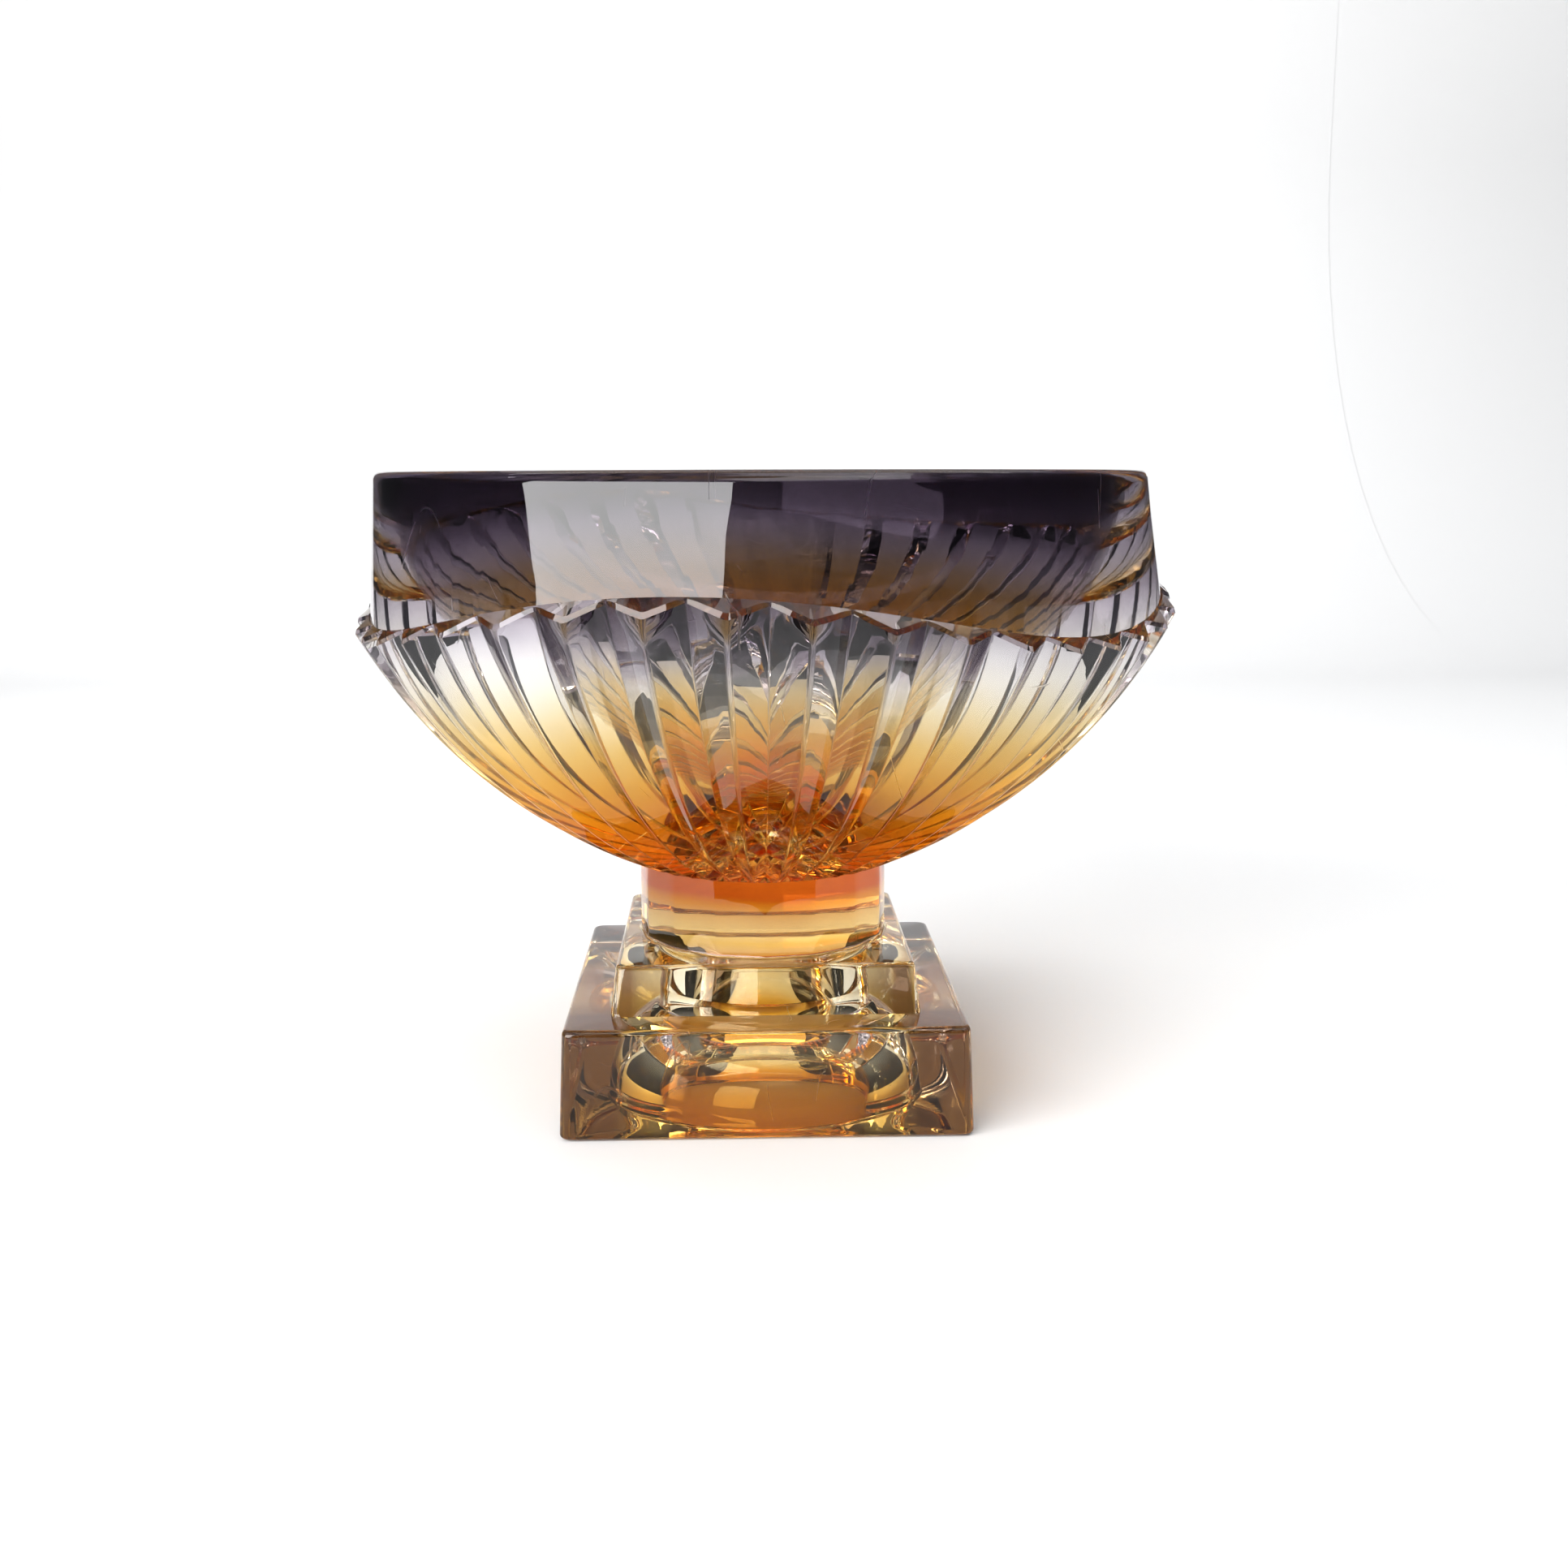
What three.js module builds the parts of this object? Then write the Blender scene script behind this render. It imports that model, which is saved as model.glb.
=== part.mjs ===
// A heavy footed glass bowl: a smooth rim band over a fluted body with a wavy, pointed ledge,
// fused through an orange wafer and a solid sixteen-sided stem to a hollow two-step square foot.
// Millimetres, +Z up. The origin is on the bowl's axis, in the plane that the foot stands on.
// Bearings run anticlockwise seen from above and start at the front, which is -Y.
import * as THREE from 'three';

// Driving sizes.
const FOOT_SIDE = 100;            // lower step, across its top edges
const HEIGHT = 161.25;            // table to lip
const LIP_RADIUS = 97.5;
const FLUTES = 39;                // thirteen in each third of the mould
const STEM_SIDES = 16;
const STEM_RADIUS = 33;           // across corners
const WAFER_TAPER = 0.2;          // the wafer narrows this much towards the bowl
const STEM_FLARE = 0.9;           // the stem swells this much where it meets the foot

// Heights of the seams between the fused bodies.
const PLINTH_SEAM = 27.65;
const STEM_SEAM = 40.35;
const WAFER_SEAM = 55.5;
const BOWL_SEAM = 60.1;
const WAVY_SEAM_GAP = 0.3;        // clearance along the one seam that isn't flat

// Outside of the bowl: one circular arc, turned about the axis.
const ARC_RADIUS = 139.55;
const ARC_CENTRE_R = -18.4;
const ARC_CENTRE_Z = 189.8;
const SHOULDER_START = 105.5;     // the ridges bend towards upright from here
const SHOULDER_REACH = 1.5;
const FLUTE_DEPTH = 4.85;         // at the ledge; it shrinks with the radius

// The ledge rises and falls three times round the bowl.
const WAVES = 3;
const WAVE_CREST = THREE.MathUtils.degToRad(-9.7);
const LEDGE_HEIGHT = 130.3;
const LEDGE_SWING = 5.9;
const POINT_DROP = 3.1;           // the flutes' points lie this much below the valleys
const POINT_DROP_SWING = 0.4;
const POINT_ROUND = 0.8;
const LEDGE_MIN_WIDTH = 0.3;      // of the ledge left between a valley and the band
const BOWL_FOOT_STEP = 0.6;       // the flutes start this much outside the stem

// Inside of the bowl: half an ellipse below a short, nearly upright wall.
const WALL_TOP_RADIUS = 92.1;
const WALL_RADIUS = 92.3;
const WALL_FOOT = 153;
const INNER_DEPTH = 86;
const LIP_ROUND = 1.7;

// The foot.
const LOWER_FLARE = 1;            // the lower step is this much wider per side at the table
const UPPER_HALF_TOP = 0.375 * FOOT_SIDE;
const UPPER_HALF_BOTTOM = 0.388 * FOOT_SIDE;
const EDGE_ROUND = 1.4;
const CORNER_ROUND = 2.2;

// The hollow under the foot: a boxy dome that opens at its top into a narrower throat.
const RECESS_RADIUS = 41;
const RECESS_DEPTH = 27;          // where the dome would close if the throat didn't cut it
const RECESS_POWER = 2.5;         // 2 would be an ellipse; more is boxier
const THROAT_RADIUS = 27.5;
const THROAT_TOP_RADIUS = 26;
const THROAT_TOP = 38;
const THROAT_ROUND = 2.5;         // the round corner between its wall and its flat top

const TURN = 2 * Math.PI;
const QUARTER = TURN / 4;
const lerp = THREE.MathUtils.lerp;

// ---- lofting -------------------------------------------------------------------------------

function pointAt(bearing, radius, height) {
  return new THREE.Vector3(radius * Math.sin(bearing), -radius * Math.cos(bearing), height);
}

function roundRing(bearings, radius, height) {
  return bearings.map((bearing) => pointAt(bearing, radius, height));
}

function evenBearings(count) {
  return Array.from({ length: count }, (_, i) => (TURN * i) / count);
}

// Skins a list of rings into one closed body. Rings run up the outside and down the inside; a
// ring of one point closes the body on the axis, and two full end rings are joined to each other.
function loft(rings) {
  const positions = [];
  const starts = rings.map((ring) => {
    const start = positions.length / 3;
    ring.forEach((p) => positions.push(p.x, p.y, p.z));
    return start;
  });
  const triangles = [];
  const bridge = (from, to) => {
    const a = rings[from].length;
    const b = rings[to].length;
    const count = Math.max(a, b);
    for (let i = 0; i < count; i += 1) {
      const next = (i + 1) % count;
      if (a > 1) triangles.push(starts[from] + i, starts[from] + next, starts[to] + (b > 1 ? next : 0));
      if (b > 1) triangles.push(starts[from] + (a > 1 ? i : 0), starts[to] + next, starts[to] + i);
    }
  };
  for (let k = 0; k + 1 < rings.length; k += 1) bridge(k, k + 1);
  const open = rings[0].length > 1 && rings[rings.length - 1].length > 1;
  if (open) bridge(rings.length - 1, 0);
  const geometry = new THREE.BufferGeometry();
  geometry.setAttribute('position', new THREE.Float32BufferAttribute(positions, 3));
  geometry.setIndex(triangles);
  geometry.computeVertexNormals();
  return geometry;
}

function glassPiece(name, rings, colour, roughness) {
  const material = new THREE.MeshStandardMaterial({
    color: colour, roughness, metalness: 0, transparent: true, opacity: 0.6, flatShading: true,
  });
  const mesh = new THREE.Mesh(loft(rings), material);
  mesh.name = name;
  return mesh;
}

// ---- the bowl's curves ---------------------------------------------------------------------

const columns = evenBearings(2 * FLUTES);
const isRidge = (column) => column % 2 === 1;
const wave = (bearing) => Math.cos(WAVES * (bearing - WAVE_CREST));
const ledgeHeight = (bearing) => LEDGE_HEIGHT + LEDGE_SWING * wave(bearing);
const pointDrop = (bearing) => POINT_DROP + POINT_DROP_SWING * wave(bearing);
const arcAngleAtHeight = (height) => Math.acos((ARC_CENTRE_Z - height) / ARC_RADIUS);
const arcAngleAtRadius = (radius) => Math.asin((radius - ARC_CENTRE_R) / ARC_RADIUS);
const LEDGE_RADIUS = ARC_CENTRE_R + ARC_RADIUS * Math.sin(arcAngleAtHeight(LEDGE_HEIGHT));

function bendAtShoulder(radius) {
  const past = Math.max(0, radius - SHOULDER_START);
  return radius - past + SHOULDER_REACH * (1 - Math.exp(-past / SHOULDER_REACH));
}

function ridgeAt(angle) {
  const radius = ARC_CENTRE_R + ARC_RADIUS * Math.sin(angle);
  return { radius: bendAtShoulder(radius), height: ARC_CENTRE_Z - ARC_RADIUS * Math.cos(angle) };
}

function valleyAt(angle) {
  const ridgeRadius = ARC_CENTRE_R + ARC_RADIUS * Math.sin(angle);
  const reach = ARC_RADIUS - (FLUTE_DEPTH * ridgeRadius) / LEDGE_RADIUS;
  return {
    radius: ARC_CENTRE_R + reach * Math.sin(angle),
    height: ARC_CENTRE_Z - reach * Math.cos(angle),
  };
}

// The radius of the band's bottom edge, just inside the valleys of the flutes.
function bandFootRadius(bearing) {
  const valley = valleyAt(arcAngleAtHeight(ledgeHeight(bearing) - FLUTE_DEPTH / 2));
  return valley.radius - LEDGE_MIN_WIDTH;
}

function innerRadiusAt(height) {
  const rise = Math.max(0, (WALL_FOOT - height) / INNER_DEPTH);
  const lean = Math.max(0, (height - WALL_FOOT) / (HEIGHT - WALL_FOOT));
  return WALL_RADIUS * Math.sqrt(1 - rise * rise) + (WALL_TOP_RADIUS - WALL_RADIUS) * lean;
}

// ---- the pieces ----------------------------------------------------------------------------

function flutedBowl() {
  const rows = 9;
  const startAngle = arcAngleAtRadius(STEM_RADIUS + BOWL_FOOT_STEP);
  const topAngle = (bearing, column) => {
    const drop = isRidge(column) ? pointDrop(bearing) + POINT_ROUND : FLUTE_DEPTH / 2;
    return arcAngleAtHeight(ledgeHeight(bearing) - drop);
  };
  const rings = [[new THREE.Vector3(0, 0, BOWL_SEAM)], roundRing(columns, STEM_RADIUS - BOWL_FOOT_STEP, BOWL_SEAM)];
  for (let row = 0; row <= rows; row += 1) {
    rings.push(columns.map((bearing, column) => {
      const angle = lerp(startAngle, topAngle(bearing, column), row / rows);
      const place = isRidge(column) ? ridgeAt(angle) : valleyAt(angle);
      return pointAt(bearing, place.radius, place.height);
    }));
  }
  // The rounded points of the flutes, then the band's footprint on the ledge.
  rings.push(columns.map((bearing, column) => {
    if (isRidge(column)) {
      const radius = ridgeAt(topAngle(bearing, column)).radius - POINT_ROUND;
      return pointAt(bearing, radius, ledgeHeight(bearing) - pointDrop(bearing));
    }
    const radius = bandFootRadius(bearing) + LEDGE_MIN_WIDTH / 2;
    return pointAt(bearing, radius, ledgeHeight(bearing) - LEDGE_MIN_WIDTH);
  }));
  rings.push(columns.map((bearing) => pointAt(bearing, bandFootRadius(bearing), ledgeHeight(bearing))));
  const innerRows = 8;
  for (let row = 0; row < innerRows; row += 1) {
    const slope = (row / innerRows) * QUARTER;
    rings.push(columns.map((bearing) => {
      const top = ledgeHeight(bearing);
      const height = lerp(top, WALL_FOOT - INNER_DEPTH, Math.sin(slope));
      return pointAt(bearing, innerRadiusAt(height), height);
    }));
  }
  rings.push([new THREE.Vector3(0, 0, WALL_FOOT - INNER_DEPTH)]);
  return glassPiece('fluted_bowl', rings, 0xe8a94a, 0.05);
}

function rimBand() {
  const foot = (bearing) => ledgeHeight(bearing) + WAVY_SEAM_GAP;
  const outside = (bearing, height) => {
    const down = (HEIGHT - height) / (HEIGHT - foot(bearing));
    return lerp(LIP_RADIUS, bandFootRadius(bearing), down);
  };
  const rings = [];
  const wallRows = 4;
  const wallTop = HEIGHT - LIP_ROUND;
  for (let row = 0; row <= wallRows; row += 1) {
    rings.push(columns.map((bearing) => {
      const height = lerp(foot(bearing), wallTop, row / wallRows);
      return pointAt(bearing, outside(bearing, height), height);
    }));
  }
  const lipSteps = 3;
  for (let step = 1; step <= lipSteps; step += 1) {
    const turn = (step / lipSteps) * QUARTER;
    const radius = LIP_RADIUS - LIP_ROUND * (1 - Math.cos(turn));
    rings.push(roundRing(columns, radius, wallTop + LIP_ROUND * Math.sin(turn)));
  }
  for (let step = lipSteps; step >= 1; step -= 1) {
    const turn = (step / lipSteps) * QUARTER;
    const radius = WALL_TOP_RADIUS + LIP_ROUND * (1 - Math.cos(turn));
    rings.push(roundRing(columns, radius, wallTop + LIP_ROUND * Math.sin(turn)));
  }
  for (let row = wallRows; row >= 0; row -= 1) {
    rings.push(columns.map((bearing) => {
      const height = lerp(foot(bearing), wallTop, row / wallRows);
      return pointAt(bearing, innerRadiusAt(height), height);
    }));
  }
  return glassPiece('rim_band', rings, 0x54425a, 0.05);
}

// A sixteen-sided ring, with its corners on even bearings and two steps along each side.
const stemBearings = evenBearings(3 * STEM_SIDES);

function stemRing(radius, height) {
  const side = TURN / STEM_SIDES;
  return stemBearings.map((bearing) => {
    const offCentre = (bearing % side) - side / 2;
    return pointAt(bearing, (radius * Math.cos(side / 2)) / Math.cos(offCentre), height);
  });
}

function stemDisc() {
  const rings = [
    [new THREE.Vector3(0, 0, WAFER_SEAM)],
    stemRing(STEM_RADIUS, WAFER_SEAM),
    stemRing(STEM_RADIUS - WAFER_TAPER, BOWL_SEAM),
    [new THREE.Vector3(0, 0, BOWL_SEAM)],
  ];
  return glassPiece('stem_disc', rings, 0xe2561e, 0.05);
}

function stemCollar() {
  const rings = [
    [new THREE.Vector3(0, 0, STEM_SEAM)],
    stemRing(STEM_RADIUS + STEM_FLARE, STEM_SEAM),
    stemRing(STEM_RADIUS + STEM_FLARE / 3, STEM_SEAM + STEM_FLARE),
    stemRing(STEM_RADIUS, WAFER_SEAM),
    [new THREE.Vector3(0, 0, WAFER_SEAM)],
  ];
  return glassPiece('stem_collar', rings, 0xe0a244, 0.05);
}

// Bearings of a square's outline: fine steps along the sides and an arc at each corner.
const squareBearings = (() => {
  const sideSteps = 12;
  const cornerSteps = 3;
  const sideShare = 0.94;         // of each quarter turn; the rest is the corner
  const bearings = [];
  for (let side = 0; side < 4; side += 1) {
    for (let i = 0; i < sideSteps; i += 1) {
      bearings.push(side * QUARTER + (i / (sideSteps - 1) - 0.5) * QUARTER * sideShare);
    }
    for (let i = 1; i < cornerSteps; i += 1) {
      bearings.push((side + 0.5) * QUARTER + (i / cornerSteps - 0.5) * QUARTER * (1 - sideShare));
    }
  }
  return bearings;
})();

function squareRadius(bearing, half, round) {
  const off = Math.abs(bearing - QUARTER * Math.round(bearing / QUARTER));
  const straight = half / Math.cos(off);
  const centre = half - round;
  // Where the ray leaves the straight side, it meets the corner's arc instead.
  if (half * Math.tan(off) <= centre) return straight;
  const along = centre * (Math.cos(off) + Math.sin(off));
  return along + Math.sqrt(along * along - 2 * centre * centre + round * round);
}

function squareRing(half, height, round) {
  return squareBearings.map((bearing) => pointAt(bearing, squareRadius(bearing, half, round), height));
}

// The outside of one step of the foot, with its upper and lower edges rounded.
function stepOutside(halfBottom, halfTop, bottom, top, lowerRound) {
  const rings = [];
  const steps = 3;
  for (let step = lowerRound > 0 ? 0 : steps; step <= steps; step += 1) {
    const turn = (step / steps) * QUARTER;
    const inset = lowerRound * (1 - Math.sin(turn));
    rings.push(squareRing(halfBottom - inset, bottom + lowerRound * (1 - Math.cos(turn)), CORNER_ROUND));
  }
  for (let step = 0; step <= steps; step += 1) {
    const turn = (step / steps) * QUARTER;
    const inset = EDGE_ROUND * (1 - Math.cos(turn));
    rings.push(squareRing(halfTop - inset, top - EDGE_ROUND * (1 - Math.sin(turn)), CORNER_ROUND));
  }
  return rings;
}

// The throat's wall and its flat top, from the axis down to the seam between the steps.
function throatRings() {
  const rings = [[new THREE.Vector3(0, 0, THROAT_TOP)]];
  const steps = 3;
  for (let step = 0; step <= steps; step += 1) {
    const turn = (step / steps) * QUARTER;
    const inset = THROAT_ROUND * (1 - Math.sin(turn));
    const height = THROAT_TOP - THROAT_ROUND * (1 - Math.cos(turn));
    rings.push(roundRing(squareBearings, THROAT_TOP_RADIUS - inset, height));
  }
  rings.push(roundRing(squareBearings, THROAT_RADIUS, PLINTH_SEAM));
  return rings;
}

function upperPlinth() {
  const outside = stepOutside(UPPER_HALF_BOTTOM, UPPER_HALF_TOP, PLINTH_SEAM, STEM_SEAM, 0);
  const rings = [...throatRings(), ...outside, [new THREE.Vector3(0, 0, STEM_SEAM)]];
  return glassPiece('upper_plinth', rings, 0xcdb38c, 0.05);
}

// The recess's radius follows a superellipse; its angle runs from the table to the axis.
function recessRing(angle) {
  const radius = RECESS_RADIUS * Math.pow(Math.cos(angle), 2 / RECESS_POWER);
  return roundRing(squareBearings, radius, RECESS_DEPTH * Math.pow(Math.sin(angle), 2 / RECESS_POWER));
}

function lowerPlinth() {
  const half = FOOT_SIDE / 2;
  const rings = stepOutside(half + LOWER_FLARE, half, 0, PLINTH_SEAM, EDGE_ROUND);
  rings.push(roundRing(squareBearings, THROAT_RADIUS, PLINTH_SEAM));
  const throatFoot = Math.acos(Math.pow(THROAT_RADIUS / RECESS_RADIUS, RECESS_POWER / 2));
  const edge = Math.asin(Math.pow(EDGE_ROUND / RECESS_DEPTH, RECESS_POWER / 2));
  const steps = 8;
  for (let step = 0; step <= steps; step += 1) {
    rings.push(recessRing(lerp(throatFoot, edge, step / steps)));
  }
  rings.push(roundRing(squareBearings, RECESS_RADIUS + EDGE_ROUND / 2, 0));
  return glassPiece('lower_plinth', rings, 0xb39a78, 0.05);
}

const bowl = new THREE.Group();
bowl.add(lowerPlinth(), upperPlinth(), stemCollar(), stemDisc(), flutedBowl(), rimBand());

export default bowl;
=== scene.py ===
"""A heavy footed glass bowl: its fine glass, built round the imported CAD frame.

Lengths are in metres. Bearings run anticlockwise seen from above and start at the front (-Y).
"""
import math
import bpy
import numpy as np
from mathutils import Matrix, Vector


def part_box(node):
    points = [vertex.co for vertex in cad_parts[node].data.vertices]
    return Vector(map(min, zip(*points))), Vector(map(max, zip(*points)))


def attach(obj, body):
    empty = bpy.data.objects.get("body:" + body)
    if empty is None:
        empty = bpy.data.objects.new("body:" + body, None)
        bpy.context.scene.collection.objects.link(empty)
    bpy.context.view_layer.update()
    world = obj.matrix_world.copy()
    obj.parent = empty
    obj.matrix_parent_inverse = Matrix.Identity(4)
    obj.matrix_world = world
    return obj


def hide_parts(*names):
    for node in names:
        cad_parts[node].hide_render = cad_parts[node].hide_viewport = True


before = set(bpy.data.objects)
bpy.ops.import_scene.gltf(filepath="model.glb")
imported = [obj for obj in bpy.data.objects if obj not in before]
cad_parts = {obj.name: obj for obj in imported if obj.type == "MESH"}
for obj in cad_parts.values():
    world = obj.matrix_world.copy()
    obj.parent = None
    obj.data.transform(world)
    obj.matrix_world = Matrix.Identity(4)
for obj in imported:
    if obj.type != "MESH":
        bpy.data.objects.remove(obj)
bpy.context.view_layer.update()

# ---- sizes, from the frame ------------------------------------------------------------------

FOOT_LOW, FOOT_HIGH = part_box("lower_plinth")
UPPER_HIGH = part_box("upper_plinth")[1]
COLLAR_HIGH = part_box("stem_collar")[1]
WAFER_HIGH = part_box("stem_disc")[1]

FOOT_WIDTH_MM = 102                          # at the table
MM = (FOOT_HIGH.x - FOOT_LOW.x) / FOOT_WIDTH_MM
PLINTH_SEAM = FOOT_HIGH.z
STEM_SEAM = UPPER_HIGH.z
WAFER_SEAM = COLLAR_HIGH.z
BOWL_SEAM = WAFER_HIGH.z
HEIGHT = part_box("rim_band")[1].z
STEM_RADIUS = WAFER_HIGH.x                   # across corners
STEM_SIDES = 16
STEM_FILLET = COLLAR_HIGH.x - STEM_RADIUS
WAFER_TAPER = 0.2 * MM                       # the wafer narrows this much towards the bowl

# The bowl's outside is one circular arc turned about the axis, cut by V flutes.
FLUTES = 39
ARC_RADIUS = 139.55 * MM
ARC_CENTRE_R = -18.4 * MM
ARC_CENTRE_Z = 189.8 * MM
SHOULDER_START = 105.5 * MM
SHOULDER_REACH = 1.5 * MM
FLUTE_DEPTH = 4.85 * MM
RIDGE_LAND = 0.05                            # the flat along each ridge, as a share of a flute
CORNER = 0.008                               # half a rounded corner's width, as a share of a flute
POINT_BEVEL = 0.8 * MM                       # the polished bevel between the flutes and the ledge

# The ledge rises and falls three times round the bowl.
WAVES = 3
WAVE_CREST = math.radians(-9.7)
LEDGE_HEIGHT = 130.3 * MM
LEDGE_SWING = 5.9 * MM
POINT_DROP = 3.1 * MM
POINT_DROP_SWING = 0.4 * MM
LEDGE_MIN_WIDTH = 0.3 * MM                   # of the ledge left between a valley and the band
BOWL_FOOT_STEP = 0.6 * MM                    # the flutes start this much outside the stem

# The inside is half an ellipse below a nearly upright wall.
LIP_RADIUS = 97.5 * MM
LIP_ROUND = 1.7 * MM
WALL_TOP_RADIUS = 92.1 * MM
WALL_RADIUS = 92.3 * MM
WALL_FOOT = 153 * MM
INNER_DEPTH = 86 * MM

# The foot and its hollow.
LOWER_HALF = FOOT_HIGH.x
LOWER_TOP_HALF = LOWER_HALF - 1 * MM
UPPER_HALF = UPPER_HIGH.x
UPPER_TOP_HALF = UPPER_HALF - 1.3 * MM
EDGE_ROUND = 1.4 * MM
CORNER_ROUND = 2.2 * MM
RECESS_RADIUS = 41 * MM
RECESS_DEPTH = 27 * MM
RECESS_POWER = 2.5                           # 2 would be an ellipse; more is boxier
THROAT_RADIUS = 27.5 * MM
THROAT_TOP_RADIUS = 26 * MM
THROAT_TOP = 38 * MM
THROAT_ROUND = 2.5 * MM

TURN = 2 * math.pi
QUARTER = TURN / 4

# Material slots of every piece.
GLASS, SEAM, TRIM = 0, 1, 2


# ---- lofting --------------------------------------------------------------------------------

def ring(bearings, radius, height):
    """Points at these bearings. Radius and height may be numbers or one value per bearing."""
    radius = np.broadcast_to(radius, bearings.shape)
    height = np.broadcast_to(height, bearings.shape)
    return np.stack([radius * np.sin(bearings), -radius * np.cos(bearings), height], axis=1)


def loft(name, rings, seams=(), low_pole=None, high_pole=None, creases=(), trim=()):
    """One closed mesh skinned over rings that run up the outside and down the inside.

    A pole closes an end on the axis at that height; with no poles the last ring joins the first.
    seams holds the numbers of the strips where this body is fused to its neighbour, and creases
    the numbers of the rings that are sharp edges. trim holds the strips of the trim's material.
    """
    count = len(rings[0])
    points = np.concatenate(rings)
    near = np.arange(count)
    far = (near + 1) % count
    closed = low_pole is None and high_pole is None
    strips = len(rings) if closed else len(rings) - 1
    quads = []
    for k in range(strips):
        low = k * count
        high = ((k + 1) % len(rings)) * count
        quads.append(np.stack([low + near, low + far, high + far, high + near], axis=1))
    quads = np.concatenate(quads)
    fans = []
    if low_pole is not None:
        points = np.concatenate([points, [[0, 0, low_pole]]])
        fans.append(np.stack([np.full(count, len(points) - 1), far, near], axis=1))
    if high_pole is not None:
        top = (len(rings) - 1) * count
        points = np.concatenate([points, [[0, 0, high_pole]]])
        fans.append(np.stack([top + near, top + far, np.full(count, len(points) - 1)], axis=1))
    faces = quads.tolist()
    for fan in fans:
        faces += fan.tolist()
    mesh = bpy.data.meshes.new(name)
    mesh.from_pydata(points.tolist(), [], faces)
    slots = np.full(len(faces), GLASS, dtype=np.int32)
    fan_start = len(quads)
    for seam in seams:
        if seam == "low_pole":
            slots[fan_start:fan_start + count] = SEAM
        elif seam == "high_pole":
            slots[len(faces) - count:] = SEAM
        else:
            slots[(seam % strips) * count:(seam % strips + 1) * count] = SEAM
    for strip in trim:
        slots[strip * count:(strip + 1) * count] = TRIM
    mesh.polygons.foreach_set("material_index", slots)
    mesh.polygons.foreach_set("use_smooth", np.ones(len(faces), dtype=bool))
    mark_sharp_edges(mesh, faces, slots, creases, count)
    piece = bpy.data.objects.new(name, mesh)
    bpy.context.scene.collection.objects.link(piece)
    return piece


def mark_sharp_edges(mesh, faces, slots, creases, count):
    """Sharpens the creases and the edges between glass and fused seam, so neither shades the other."""
    sides = {}
    for face, slot in zip(faces, slots.tolist()):
        for a, b in zip(face, face[1:] + face[:1]):
            sides.setdefault((min(a, b), max(a, b)), set()).add(slot == SEAM)
    ends = np.empty(len(mesh.edges) * 2, dtype=np.int64)
    mesh.edges.foreach_get("vertices", ends)
    ends = np.sort(ends.reshape(-1, 2), axis=1)
    sharp = np.array([len(sides[a, b]) == 2 for a, b in ends.tolist()])
    for crease in creases:
        sharp |= (ends // count == crease).all(axis=1)
    mesh.edges.foreach_set("use_edge_sharp", sharp)


def between(start, end, steps):
    """Values from start to end in even steps, both ends included."""
    return np.linspace(start, end, steps + 1)


# ---- the bowl's curves ----------------------------------------------------------------------

FLANK_STEPS = 4


def flute_bearings():
    """Bearings round the bowl: a flute's flanks are flat, so columns gather at its corners."""
    ridge = 0.5
    land = ridge - RIDGE_LAND / 2
    clear = 2.5 * CORNER                     # beyond this a corner's rounding hardly shows
    flank = between(clear, land - clear, FLANK_STEPS)
    half = [0, CORNER, *flank, land - CORNER, land + CORNER]
    offsets = half + [ridge] + [1 - value for value in half[:0:-1]]
    return np.array([(flute + offset) * TURN / FLUTES for flute in range(FLUTES) for offset in offsets])


def soft_above(value, softness):
    """value where it is above zero and 0 below, with a round corner between."""
    return (value + np.sqrt(value ** 2 + softness ** 2)) / 2


def ridge_share(bearings):
    """1 along the flat of a ridge, 0 in a valley, straight flanks between."""
    from_ridge = np.abs((bearings * FLUTES / TURN) % 1 - 0.5)
    down = soft_above(from_ridge - RIDGE_LAND / 2, CORNER) / (0.5 - RIDGE_LAND / 2)
    return np.clip(soft_above(1 - down, CORNER), 0, 1)


COLUMNS = flute_bearings()


def wave(bearings):
    return np.cos(WAVES * (bearings - WAVE_CREST))


def ledge_height(bearings):
    return LEDGE_HEIGHT + LEDGE_SWING * wave(bearings)


def arc_angle_at_height(height):
    return np.arccos((ARC_CENTRE_Z - height) / ARC_RADIUS)


def arc_angle_at_radius(radius):
    return np.arcsin((radius - ARC_CENTRE_R) / ARC_RADIUS)


LEDGE_RADIUS = ARC_CENTRE_R + ARC_RADIUS * math.sin(float(arc_angle_at_height(LEDGE_HEIGHT)))


def bend_at_shoulder(radius):
    past = np.maximum(0, radius - SHOULDER_START)
    return radius - past + SHOULDER_REACH * (1 - np.exp(-past / SHOULDER_REACH))


def flute_surface(angle, share):
    """Radius and height on the fluted outside, at an angle on the arc and a share of the ridge."""
    ridge_radius = ARC_CENTRE_R + ARC_RADIUS * np.sin(angle)
    depth = FLUTE_DEPTH * ridge_radius / LEDGE_RADIUS * (1 - share)
    reach = ARC_RADIUS - depth
    radius = ARC_CENTRE_R + reach * np.sin(angle)
    height = ARC_CENTRE_Z - reach * np.cos(angle)
    return bend_at_shoulder(radius), height


def band_foot_radius(bearings):
    """Where the band's outside meets the ledge, just inside the valleys of the flutes."""
    angle = arc_angle_at_height(ledge_height(bearings) - FLUTE_DEPTH / 2)
    return flute_surface(angle, np.zeros_like(bearings))[0] - LEDGE_MIN_WIDTH


def inner_radius(height):
    rise = np.maximum(0, (WALL_FOOT - height) / INNER_DEPTH)
    lean = np.maximum(0, (height - WALL_FOOT) / (HEIGHT - WALL_FOOT))
    return WALL_RADIUS * np.sqrt(np.maximum(0, 1 - rise ** 2)) + (WALL_TOP_RADIUS - WALL_RADIUS) * lean


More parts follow.
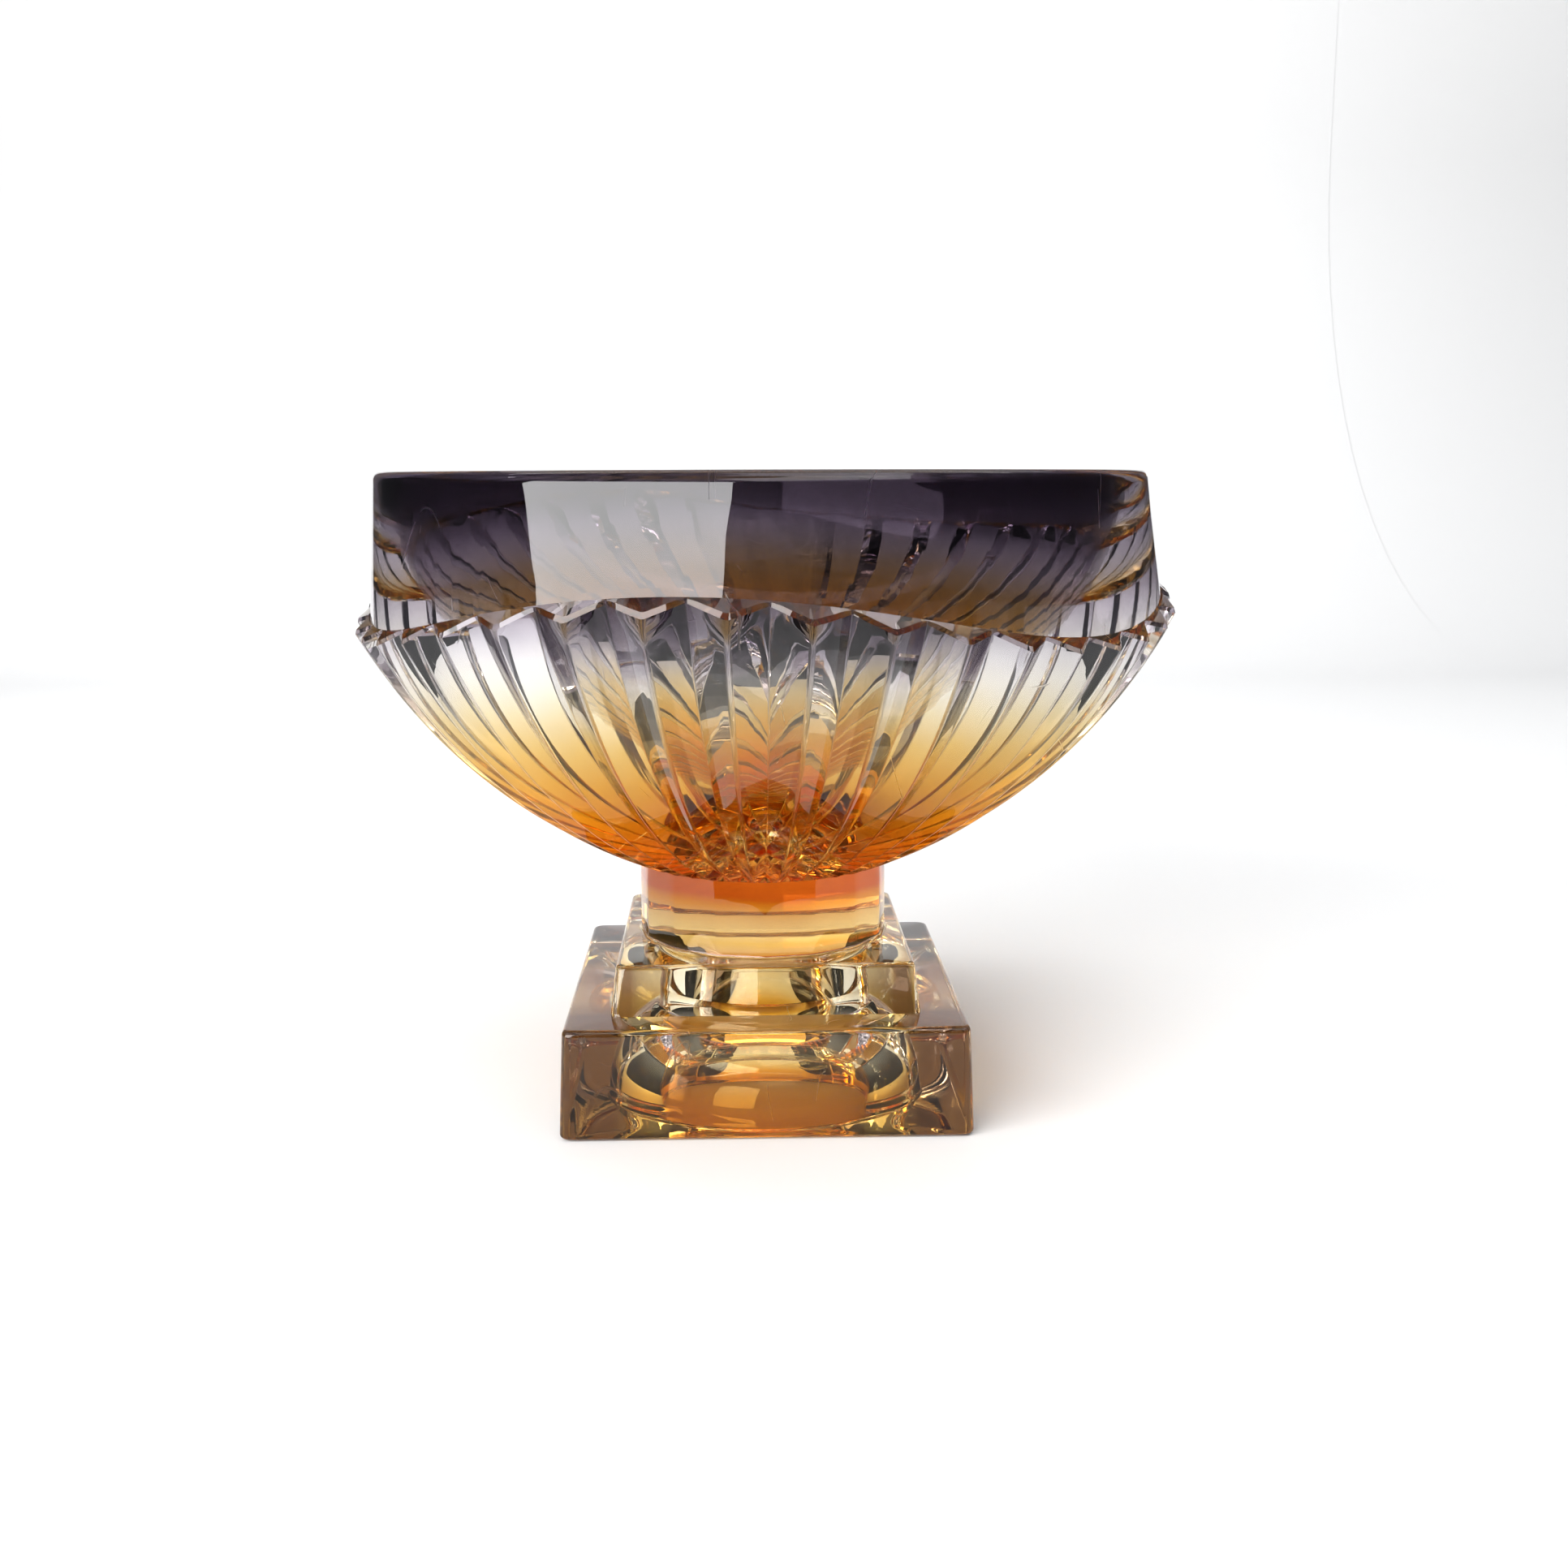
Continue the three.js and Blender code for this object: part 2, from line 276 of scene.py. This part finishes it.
# ---- the fine pieces ------------------------------------------------------------------------

def stem_outline(bearings, radius):
    """Radius of the sixteen-sided stem at these bearings; radius is measured across corners."""
    side = TURN / STEM_SIDES
    off_centre = (bearings % side) - side / 2
    sharp = radius * math.cos(side / 2) / np.cos(off_centre)
    softness = 0.25 * MM
    blunt = 0.15 * MM                        # the rounding takes this much off each corner
    limit = radius - blunt
    return (sharp + limit - np.sqrt((limit - sharp) ** 2 + softness ** 2)) / 2


def make_bowl():
    share = ridge_share(COLUMNS)
    start = arc_angle_at_radius(STEM_RADIUS + BOWL_FOOT_STEP)
    drop = (POINT_DROP + POINT_DROP_SWING * wave(COLUMNS)) * share + FLUTE_DEPTH / 2 * (1 - share)
    top = arc_angle_at_height(ledge_height(COLUMNS) - drop)
    rings = [ring(COLUMNS, stem_outline(COLUMNS, STEM_RADIUS - WAFER_TAPER), BOWL_SEAM)]
    rows = 76
    bevel = POINT_BEVEL / ARC_RADIUS
    for part in between(0, 1, rows):
        rings.append(ring(COLUMNS, *flute_surface(start + (top - bevel - start) * part, share)))
    # The zigzag edge, with its bevel between the flute and the ledge.
    below = np.stack(flute_surface(top - bevel, share))
    corner = np.stack(flute_surface(top, share))
    foot = np.stack([band_foot_radius(COLUMNS), ledge_height(COLUMNS)])
    most = 0.45                              # of the way from the edge to the band
    inset = np.minimum(most, POINT_BEVEL / np.linalg.norm(foot - corner, axis=0))
    beyond = corner + (foot - corner) * inset
    creases = (len(rings) - 1, len(rings) + 1)
    bevel_rows, ledge_rows = 2, 4
    for t in between(0, 1, bevel_rows)[1:]:
        rings.append(ring(COLUMNS, *(below + (beyond - below) * t)))
    for t in between(0, 1, ledge_rows)[1:]:
        rings.append(ring(COLUMNS, *(beyond + (foot - beyond) * t)))
    seam = len(rings) - 1
    inner_rows = 46
    floor = WALL_FOOT - INNER_DEPTH
    top_height = ledge_height(COLUMNS)
    for t in between(0, 1, inner_rows)[:-1]:
        height = top_height + (floor - top_height) * math.sin(t * QUARTER)
        rings.append(ring(COLUMNS, inner_radius(height), height))
    # The bevel and the ledge take the ledge glass, whose denser stain is partly painted shade for their
    # dark reflections.
    ledge = range(creases[0], seam)
    return loft("fluted_bowl_glass", rings, ("low_pole", seam), BOWL_SEAM, floor, creases, ledge)


def make_band():
    foot = ledge_height(COLUMNS)
    foot_radius = band_foot_radius(COLUMNS)
    wall_top = HEIGHT - LIP_ROUND
    rings = []
    rows = 26
    for t in between(0, 1, rows):
        height = foot + (wall_top - foot) * t
        down = (HEIGHT - height) / (HEIGHT - foot)
        rings.append(ring(COLUMNS, LIP_RADIUS + (foot_radius - LIP_RADIUS) * down, height))
    lip = between(0, QUARTER, 8)[1:]
    for turn in lip:
        inset = LIP_ROUND * (1 - math.cos(turn))
        rings.append(ring(COLUMNS, LIP_RADIUS - inset, wall_top + LIP_ROUND * math.sin(turn)))
    for turn in lip[::-1]:
        inset = LIP_ROUND * (1 - math.cos(turn))
        rings.append(ring(COLUMNS, WALL_TOP_RADIUS + inset, wall_top + LIP_ROUND * math.sin(turn)))
    for t in between(1, 0, rows):
        height = foot + (wall_top - foot) * t
        rings.append(ring(COLUMNS, inner_radius(height), height))
    return loft("rim_band_glass", rings, seams=(len(rings) - 1,))


def stem_bearings():
    """Bearings round the stem, closer together at its corners."""
    steps = 12
    side = TURN / STEM_SIDES
    eased = [0.5 - 0.5 * math.cos(math.pi * i / steps) for i in range(steps)]
    return np.array([(k + value) * side for k in range(STEM_SIDES) for value in eased])


STEM_COLUMNS = stem_bearings()


def make_wafer():
    rings = []
    for t in between(0, 1, 4):
        radius = STEM_RADIUS - WAFER_TAPER * t
        height = WAFER_SEAM + (BOWL_SEAM - WAFER_SEAM) * t
        rings.append(ring(STEM_COLUMNS, stem_outline(STEM_COLUMNS, radius), height))
    return loft("stem_disc_glass", rings, ("low_pole", "high_pole"), WAFER_SEAM, BOWL_SEAM)


def make_collar():
    rings = []
    for turn in between(0, QUARTER, 6):
        radius = STEM_RADIUS + STEM_FILLET * (1 - math.sin(turn))
        height = STEM_SEAM + STEM_FILLET * (1 - math.cos(turn))
        rings.append(ring(STEM_COLUMNS, stem_outline(STEM_COLUMNS, radius), height))
    for t in between(0, 1, 8)[1:]:
        height = STEM_SEAM + STEM_FILLET + (WAFER_SEAM - STEM_SEAM - STEM_FILLET) * t
        rings.append(ring(STEM_COLUMNS, stem_outline(STEM_COLUMNS, STEM_RADIUS), height))
    return loft("stem_collar_glass", rings, ("low_pole", "high_pole"), STEM_SEAM, WAFER_SEAM)


def square_bearings():
    """Bearings round a square: even along its sides and close together at its corners."""
    corner_share = 0.07                      # of each quarter turn
    side_steps = 34
    corner_steps = 12
    bearings = []
    for side in range(4):
        for i in range(side_steps):
            bearings.append(side * QUARTER + (i / (side_steps - 1) - 0.5) * QUARTER * (1 - corner_share))
        for i in range(1, corner_steps):
            bearings.append((side + 0.5) * QUARTER + (i / corner_steps - 0.5) * QUARTER * corner_share)
    return np.array(bearings)


SQUARE_COLUMNS = square_bearings()


def square_outline(bearings, half, corner):
    """Radius of a square with round corners at these bearings."""
    off = np.abs(bearings - QUARTER * np.round(bearings / QUARTER))
    straight = half / np.cos(off)
    centre = half - corner
    along = centre * (np.cos(off) + np.sin(off))
    inside = np.maximum(0, along ** 2 - 2 * centre ** 2 + corner ** 2)
    return np.where(half * np.tan(off) <= centre, straight, along + np.sqrt(inside))


def square_ring(half, height):
    return ring(SQUARE_COLUMNS, square_outline(SQUARE_COLUMNS, half, CORNER_ROUND), height)


def step_outside(half_bottom, half_top, bottom, top, lower_round):
    """The outside of one step of the foot, with its edges rounded."""
    rings = []
    for turn in between(0, QUARTER, 5) if lower_round else (QUARTER,):
        inset = lower_round * (1 - math.sin(turn))
        rings.append(square_ring(half_bottom - inset, bottom + lower_round * (1 - math.cos(turn))))
    for t in between(0, 1, 6)[1:-1]:
        height = bottom + lower_round + (top - EDGE_ROUND - bottom - lower_round) * t
        rings.append(square_ring(half_bottom + (half_top - half_bottom) * t, height))
    for turn in between(0, QUARTER, 6):
        inset = EDGE_ROUND * (1 - math.cos(turn))
        rings.append(square_ring(half_top - inset, top - EDGE_ROUND * (1 - math.sin(turn))))
    return rings


def make_upper_step():
    rings = []
    for turn in between(0, QUARTER, 8):
        inset = THROAT_ROUND * (1 - math.sin(turn))
        height = THROAT_TOP - THROAT_ROUND * (1 - math.cos(turn))
        rings.append(ring(SQUARE_COLUMNS, THROAT_TOP_RADIUS - inset, height))
    for t in between(0, 1, 6)[1:]:
        radius = THROAT_TOP_RADIUS + (THROAT_RADIUS - THROAT_TOP_RADIUS) * t
        height = THROAT_TOP - THROAT_ROUND + (PLINTH_SEAM - THROAT_TOP + THROAT_ROUND) * t
        rings.append(ring(SQUARE_COLUMNS, radius, height))
    low_seam = len(rings) - 1
    rings += step_outside(UPPER_HALF, UPPER_TOP_HALF, PLINTH_SEAM, STEM_SEAM, 0)
    outline = stem_outline(SQUARE_COLUMNS, STEM_RADIUS + STEM_FILLET)
    rings.append(ring(SQUARE_COLUMNS, outline, STEM_SEAM))
    return loft("upper_plinth_glass", rings, (low_seam, "high_pole"), THROAT_TOP, STEM_SEAM)


def recess_ring(angle):
    """A ring of the boxy dome under the foot; the angle runs from the table to the axis."""
    radius = RECESS_RADIUS * math.cos(angle) ** (2 / RECESS_POWER)
    return ring(SQUARE_COLUMNS, radius, RECESS_DEPTH * math.sin(angle) ** (2 / RECESS_POWER))


def make_lower_step():
    rings = step_outside(LOWER_HALF, LOWER_TOP_HALF, 0, PLINTH_SEAM, EDGE_ROUND)
    rings.append(square_ring(UPPER_HALF, PLINTH_SEAM))
    top_seam = len(rings) - 1
    rings.append(ring(SQUARE_COLUMNS, THROAT_RADIUS, PLINTH_SEAM))
    throat_foot = math.acos((THROAT_RADIUS / RECESS_RADIUS) ** (RECESS_POWER / 2))
    edge = math.asin((EDGE_ROUND / RECESS_DEPTH) ** (RECESS_POWER / 2))
    for angle in between(throat_foot, edge, 24):
        rings.append(recess_ring(angle))
    for turn in between(0, QUARTER, 4)[1:]:
        radius = RECESS_RADIUS + EDGE_ROUND / 2 * (1 - math.cos(turn))
        rings.append(ring(SQUARE_COLUMNS, radius, EDGE_ROUND * (1 - math.sin(turn))))
    return loft("lower_plinth_glass", rings, (top_seam,))


# ---- materials ------------------------------------------------------------------------------

RIPPLE = 0.2 * MM                            # how far a moulded surface waves in and out
BAND_RIPPLE = 5 * RIPPLE
STAIN_DRIFT = 5 * MM                         # how far the stain's edges wander up and down
LEDGE_STAIN_AND_SHADE_LIFT = 20 * MM                         # the ledge has the denser stain of a place this much higher: partly its violet stain, partly painted shade for its dark reflections

# Roughness of polished glass, and what handling and scratches add to it.
POLISHED = 0.006
HANDLED = 0.02
SCRATCHED = 0.3

# The stain's colour by height in millimetres: what light keeps after going in and out once.
STAIN = (
    (0, (0.74, 0.34, 0.026)),
    (10, (0.78, 0.43, 0.065)),
    (16, (0.84, 0.64, 0.30)),
    (26, (0.86, 0.77, 0.54)),
    (30, (0.83, 0.76, 0.62)),
    (40, (0.83, 0.72, 0.49)),
    (44, (0.79, 0.47, 0.10)),
    (53, (0.51, 0.12, 0.003)),
    (55.6, (0.37, 0.025, 0.001)),
    (62, (0.52, 0.058, 0.002)),
    (72, (0.62, 0.17, 0.007)),
    (82, (0.67, 0.30, 0.025)),
    (92, (0.68, 0.40, 0.09)),
    (102, (0.72, 0.56, 0.28)),
    (110, (0.76, 0.70, 0.58)),
    (117, (0.76, 0.73, 0.70)),
    (122, (0.62, 0.59, 0.62)),
    (128, (0.33, 0.30, 0.34)),
    (134, (0.20, 0.165, 0.20)),
    (140, (0.16, 0.13, 0.165)),
    (150, (0.13, 0.105, 0.14)),
    (161, (0.09, 0.07, 0.10)),
)


def add_node(tree, kind, **values):
    """A new node, with its inputs set by name; underscores stand for spaces."""
    node = tree.nodes.new("ShaderNode" + kind)
    for name, value in values.items():
        node.inputs[name.replace("_", " ")].default_value = value
    return node


def math_node(tree, operation, first, second):
    """One sum on two sockets or numbers."""
    node = add_node(tree, "Math")
    node.operation = operation
    for socket, value in zip(node.inputs, (first, second)):
        if isinstance(value, bpy.types.NodeSocket):
            tree.links.new(value, socket)
        else:
            socket.default_value = value
    return node.outputs[0]


def noise(tree, place, stretch, detail=2.0):
    """Smooth noise whose features are about 1 / stretch metres along each axis."""
    mapping = add_node(tree, "Mapping", Scale=stretch)
    tree.links.new(place, mapping.inputs["Vector"])
    texture = add_node(tree, "TexNoise", Scale=1.0, Detail=detail, Roughness=0.5)
    tree.links.new(mapping.outputs["Vector"], texture.inputs["Vector"])
    return texture.outputs["Fac"]


def stretched_share(tree, value, low, high):
    """0 below low, 1 above high, straight between."""
    share = add_node(tree, "MapRange", From_Min=low, From_Max=high)
    tree.links.new(value, share.inputs["Value"])
    return share.outputs["Result"]


def scratches(tree, place):
    """Fine wear: short level rubs, and a few long hair scratches that wander.

    Rubs are where a noise stretched level is high, inside worn patches. A hair follows the middle
    value of a smooth noise, and is broken up by a finer one.
    """
    level, patches, lines, breaks = (30, 30, 1300), (28, 28, 34), (34, 34, 11), (60, 60, 60)
    middle = 0.5
    rub_depth = 0.3                          # against a hair's
    rubs = stretched_share(tree, noise(tree, place, level), 0.70, 0.76)
    worn = stretched_share(tree, noise(tree, place, patches), 0.48, 0.62)
    rubs = math_node(tree, "MULTIPLY", rubs, worn)
    wander = noise(tree, place, lines, detail=0.0)
    from_line = math_node(tree, "ABSOLUTE", math_node(tree, "SUBTRACT", wander, middle), 0)
    hair = math_node(tree, "SUBTRACT", 1.0, stretched_share(tree, from_line, 0.0008, 0.0022))
    broken = stretched_share(tree, noise(tree, place, breaks), 0.58, 0.62)
    return math_node(tree, "MULTIPLY", rubs, rub_depth), math_node(tree, "MULTIPLY", hair, broken)


def stain_colour(tree, place, lift):
    """The stain at this height plus lift, its edges a little uneven as flashed stains are."""
    broad = (26, 26, 16)
    split = add_node(tree, "SeparateXYZ")
    tree.links.new(place, split.inputs[0])
    drift = math_node(tree, "MULTIPLY", noise(tree, place, broad), STAIN_DRIFT)
    drift = math_node(tree, "ADD", drift, lift - STAIN_DRIFT / 2)
    height = math_node(tree, "ADD", split.outputs["Z"], drift)
    ramp = add_node(tree, "ValToRGB")
    top = STAIN[-1][0]
    stops = ramp.color_ramp.elements
    for level, colour in STAIN[1:-1]:
        stops.new(level / top).color = (*colour, 1)
    stops[0].color = (*STAIN[0][1], 1)
    stops[-1].color = (*STAIN[-1][1], 1)
    tree.links.new(stretched_share(tree, height, 0, top * MM), ramp.inputs["Fac"])
    return ramp.outputs["Color"]


def paint_corner_shade(tree, place, colour, half):
    """Painted shade: darkens a colour towards the upright corners of a square step, where its glass is
    thickest.
    """
    start, full = 0.50 * half, 0.74 * half   # away from both of the step's middle planes
    # the colour of the painted shade, multiplied in towards the corners
    shade = (0.17, 0.115, 0.13, 1)
    apart = add_node(tree, "SeparateXYZ")
    tree.links.new(place, apart.inputs[0])
    from_axis = [math_node(tree, "ABSOLUTE", apart.outputs[axis], 0) for axis in "XY"]
    nearer = math_node(tree, "MINIMUM", *from_axis)
    corner_shading = add_node(tree, "Mix")
    corner_shading.data_type = "RGBA"
    corner_shading.blend_type = "MULTIPLY"
    tree.links.new(stretched_share(tree, nearer, start, full), corner_shading.inputs["Factor"])
    tree.links.new(colour, corner_shading.inputs["A"])
    corner_shading.inputs["B"].default_value = shade
    return corner_shading.outputs["Result"]


def glass(name, ripple=RIPPLE, lift=0, corners=0):
    """Stained pressed glass. ripple is how far its surface waves in and out.

    lift gives this glass the stain of a place this much higher. corners is half the width of a
    square step whose corners get painted shade.
    """
    smudges, swells = (30, 30, 45), (24, 24, 18)
    material = bpy.data.materials.new(name)
    material.use_nodes = True
    tree = material.node_tree
    shader = tree.nodes["Principled BSDF"]
    shader.inputs["Transmission Weight"].default_value = 1.0
    shader.inputs["IOR"].default_value = 1.5
    place = add_node(tree, "TexCoord").outputs["Object"]
    colour = stain_colour(tree, place, lift)
    if corners:
        colour = paint_corner_shade(tree, place, colour, corners)
    tree.links.new(colour, shader.inputs["Base Color"])
    rubs, hairs = scratches(tree, place)
    wear = math_node(tree, "MAXIMUM", rubs, hairs)
    handling = stretched_share(tree, noise(tree, place, smudges, detail=4.0), 0.5, 0.8)
    roughness = math_node(tree, "ADD", POLISHED, math_node(tree, "MULTIPLY", handling, HANDLED))
    roughness = math_node(tree, "ADD", roughness, math_node(tree, "MULTIPLY", wear, SCRATCHED))
    tree.links.new(roughness, shader.inputs["Roughness"])
    waves = add_node(tree, "Bump", Strength=1.0, Distance=ripple)
    tree.links.new(noise(tree, place, swells, detail=0.5), waves.inputs["Height"])
    cuts = add_node(tree, "Bump", Strength=0.25, Distance=0.02 * MM)
    cuts.invert = True
    tree.links.new(hairs, cuts.inputs["Height"])
    tree.links.new(waves.outputs["Normal"], cuts.inputs["Normal"])
    tree.links.new(cuts.outputs["Normal"], shader.inputs["Normal"])
    return material


def fused_seam():
    """Inside the fused glass there is no surface, so light goes straight through."""
    material = bpy.data.materials.new("fused_seam")
    material.use_nodes = True
    nodes = material.node_tree.nodes
    nodes.remove(nodes["Principled BSDF"])
    clear = nodes.new("ShaderNodeBsdfTransparent")
    material.node_tree.links.new(clear.outputs["BSDF"], nodes["Material Output"].inputs["Surface"])
    return material


# ---- studio ---------------------------------------------------------------------------------

def make_camera():
    place = (-0.00698, -0.43905, 0.15960)
    yaw, pitch, roll = math.radians(-1.66), math.radians(-10.374), math.radians(0.159)
    data = bpy.data.cameras.new("camera")
    data.sensor_width = 36
    data.lens = 38.43
    camera = bpy.data.objects.new("camera", data)
    bpy.context.scene.collection.objects.link(camera)
    turn = Matrix.Rotation(yaw, 4, "Z") @ Matrix.Rotation(pitch, 4, "X") @ Matrix.Rotation(roll, 4, "Y")
    stand_up = Matrix.Rotation(QUARTER, 4, "X")
    camera.matrix_world = Matrix.Translation(place) @ turn @ stand_up
    bpy.context.scene.camera = camera


def make_sweep(name, width, front, sink, in_glass):
    """A white floor that curves up into a backdrop.

    sink keeps it this far below and behind. in_glass says whether the glass shows it too, or only
    the camera sees it.
    """
    bend_start = 0.9
    bend_radius = 0.5
    top = 3.0
    profile = [(front, 0.0), (bend_start, 0.0)]
    for turn in between(0, QUARTER, 16)[1:]:
        profile.append((bend_start + bend_radius * math.sin(turn), bend_radius * (1 - math.cos(turn))))
    profile.append((bend_start + bend_radius, top))
    points = []
    for y, z in profile:
        points += [(-width / 2, y + sink, z - sink), (width / 2, y + sink, z - sink)]
    faces = [(2 * i, 2 * i + 1, 2 * i + 3, 2 * i + 2) for i in range(len(profile) - 1)]
    mesh = bpy.data.meshes.new(name)
    mesh.from_pydata(points, [], faces)
    mesh.polygons.foreach_set("use_smooth", [True] * len(faces))
    sweep = bpy.data.objects.new(name, mesh)
    sweep.visible_diffuse = in_glass
    sweep.visible_glossy = in_glass
    sweep.visible_transmission = in_glass
    sweep.visible_shadow = in_glass
    bpy.context.scene.collection.objects.link(sweep)
    material = bpy.data.materials.new("white_paper")
    material.use_nodes = True
    shader = material.node_tree.nodes["Principled BSDF"]
    shader.inputs["Base Color"].default_value = (0.80, 0.80, 0.80, 1)
    shader.inputs["Roughness"].default_value = 0.9
    mesh.materials.append(material)


def area_light(name, place, target, width, height, power):
    data = bpy.data.lights.new(name, "AREA")
    data.shape = "RECTANGLE"
    data.size = width
    data.size_y = height
    data.energy = power
    light = bpy.data.objects.new(name, data)
    bpy.context.scene.collection.objects.link(light)
    place = np.array(place, float)
    aim = np.array(target, float) - place
    aim /= np.linalg.norm(aim)
    right = np.cross(aim, (0, 0, 1))
    right /= np.linalg.norm(right)
    up = np.cross(right, aim)
    basis = Matrix([[*v] for v in np.stack([right, up, -aim], axis=1)])
    light.matrix_world = Matrix.Translation(place) @ basis.to_4x4()


def studio_world():
    """Pale where the camera looks past the floor; otherwise a dark room with a paler ceiling."""
    world = bpy.data.worlds.new("studio")
    world.use_nodes = True
    nodes = world.node_tree.nodes
    links = world.node_tree.links
    room = nodes["Background"]
    room.inputs["Color"].default_value = (0.85, 0.88, 0.92, 1)
    above = nodes.new("ShaderNodeSeparateXYZ")
    links.new(nodes.new("ShaderNodeTexCoord").outputs["Generated"], above.inputs[0])
    ceiling = nodes.new("ShaderNodeMapRange")
    strengths = {"From Min": 0.3, "From Max": 0.8, "To Min": 0.05, "To Max": 0.3}
    for name, value in strengths.items():
        ceiling.inputs[name].default_value = value
    links.new(above.outputs["Z"], ceiling.inputs["Value"])
    links.new(ceiling.outputs["Result"], room.inputs["Strength"])
    pale = nodes.new("ShaderNodeBackground")
    pale.inputs["Color"].default_value = (0.93, 0.93, 0.93, 1)
    path = nodes.new("ShaderNodeLightPath")
    mix = nodes.new("ShaderNodeMixShader")
    links.new(path.outputs["Is Camera Ray"], mix.inputs["Fac"])
    links.new(room.outputs["Background"], mix.inputs[1])
    links.new(pale.outputs["Background"], mix.inputs[2])
    links.new(mix.outputs["Shader"], nodes["World Output"].inputs["Surface"])
    return world


def make_light():
    scene = bpy.context.scene
    scene.world = studio_world()
    centre = (0, 0, 0.1)
    area_light("window", (-0.77, -0.92, 0.45), centre, 1.33, 1.0, 34)
    area_light("overhead", (0.1, 0.35, 1.6), (0, 0.1, 0), 2.4, 1.8, 11)
    area_light("front_fill", (0.35, -0.9, 1.5), (0, -0.1, 0), 1.2, 0.8, 6)
    area_light("backdrop_wash", (0.0, 0.1, 1.3), (0, 1.4, 0.5), 2.4, 0.4, 9.5)
    scene.view_settings.view_transform = "Standard"
    scene.view_settings.look = "Medium High Contrast"
    scene.cycles.max_bounces = 32
    scene.cycles.transmission_bounces = 28
    scene.cycles.glossy_bounces = 12
    scene.cycles.transparent_max_bounces = 64
    scene.cycles.use_denoising = True
    scene.cycles.sample_clamp_indirect = 8


def finish_piece(piece, seam, node, slot, **looks):
    """Stains a piece, hangs it on the root body, and hides the CAD node it stands for."""
    piece.data.materials.append(glass(slot + "_look", **looks))
    piece.data.materials.append(seam)
    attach(piece, "root")
    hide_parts(node)


make_camera()
make_sweep("sweep", width=1.25, front=-0.23, sink=0.3 * MM, in_glass=True)
make_sweep("sweep_surround", width=4.0, front=-2.0, sink=1 * MM, in_glass=False)
make_light()
seam = fused_seam()
finish_piece(make_band(), seam, "rim_band", "smoky_violet_glass", ripple=BAND_RIPPLE)
bowl = make_bowl()
finish_piece(bowl, seam, "fluted_bowl", "clear_to_amber_glass")
# The ledge glass: its violet stain, darkened further as painted shade for the ledge's dark reflections.
bowl.data.materials.append(glass("violet_ledge_stain_and_shade_look", lift=LEDGE_STAIN_AND_SHADE_LIFT))
finish_piece(make_wafer(), seam, "stem_disc", "orange_glass")
finish_piece(make_collar(), seam, "stem_collar", "honey_glass")
finish_piece(make_upper_step(), seam, "upper_plinth", "champagne_glass")
# The lower step's corners get painted shade.
finish_piece(make_lower_step(), seam, "lower_plinth", "bronze_glass", corners=LOWER_HALF)
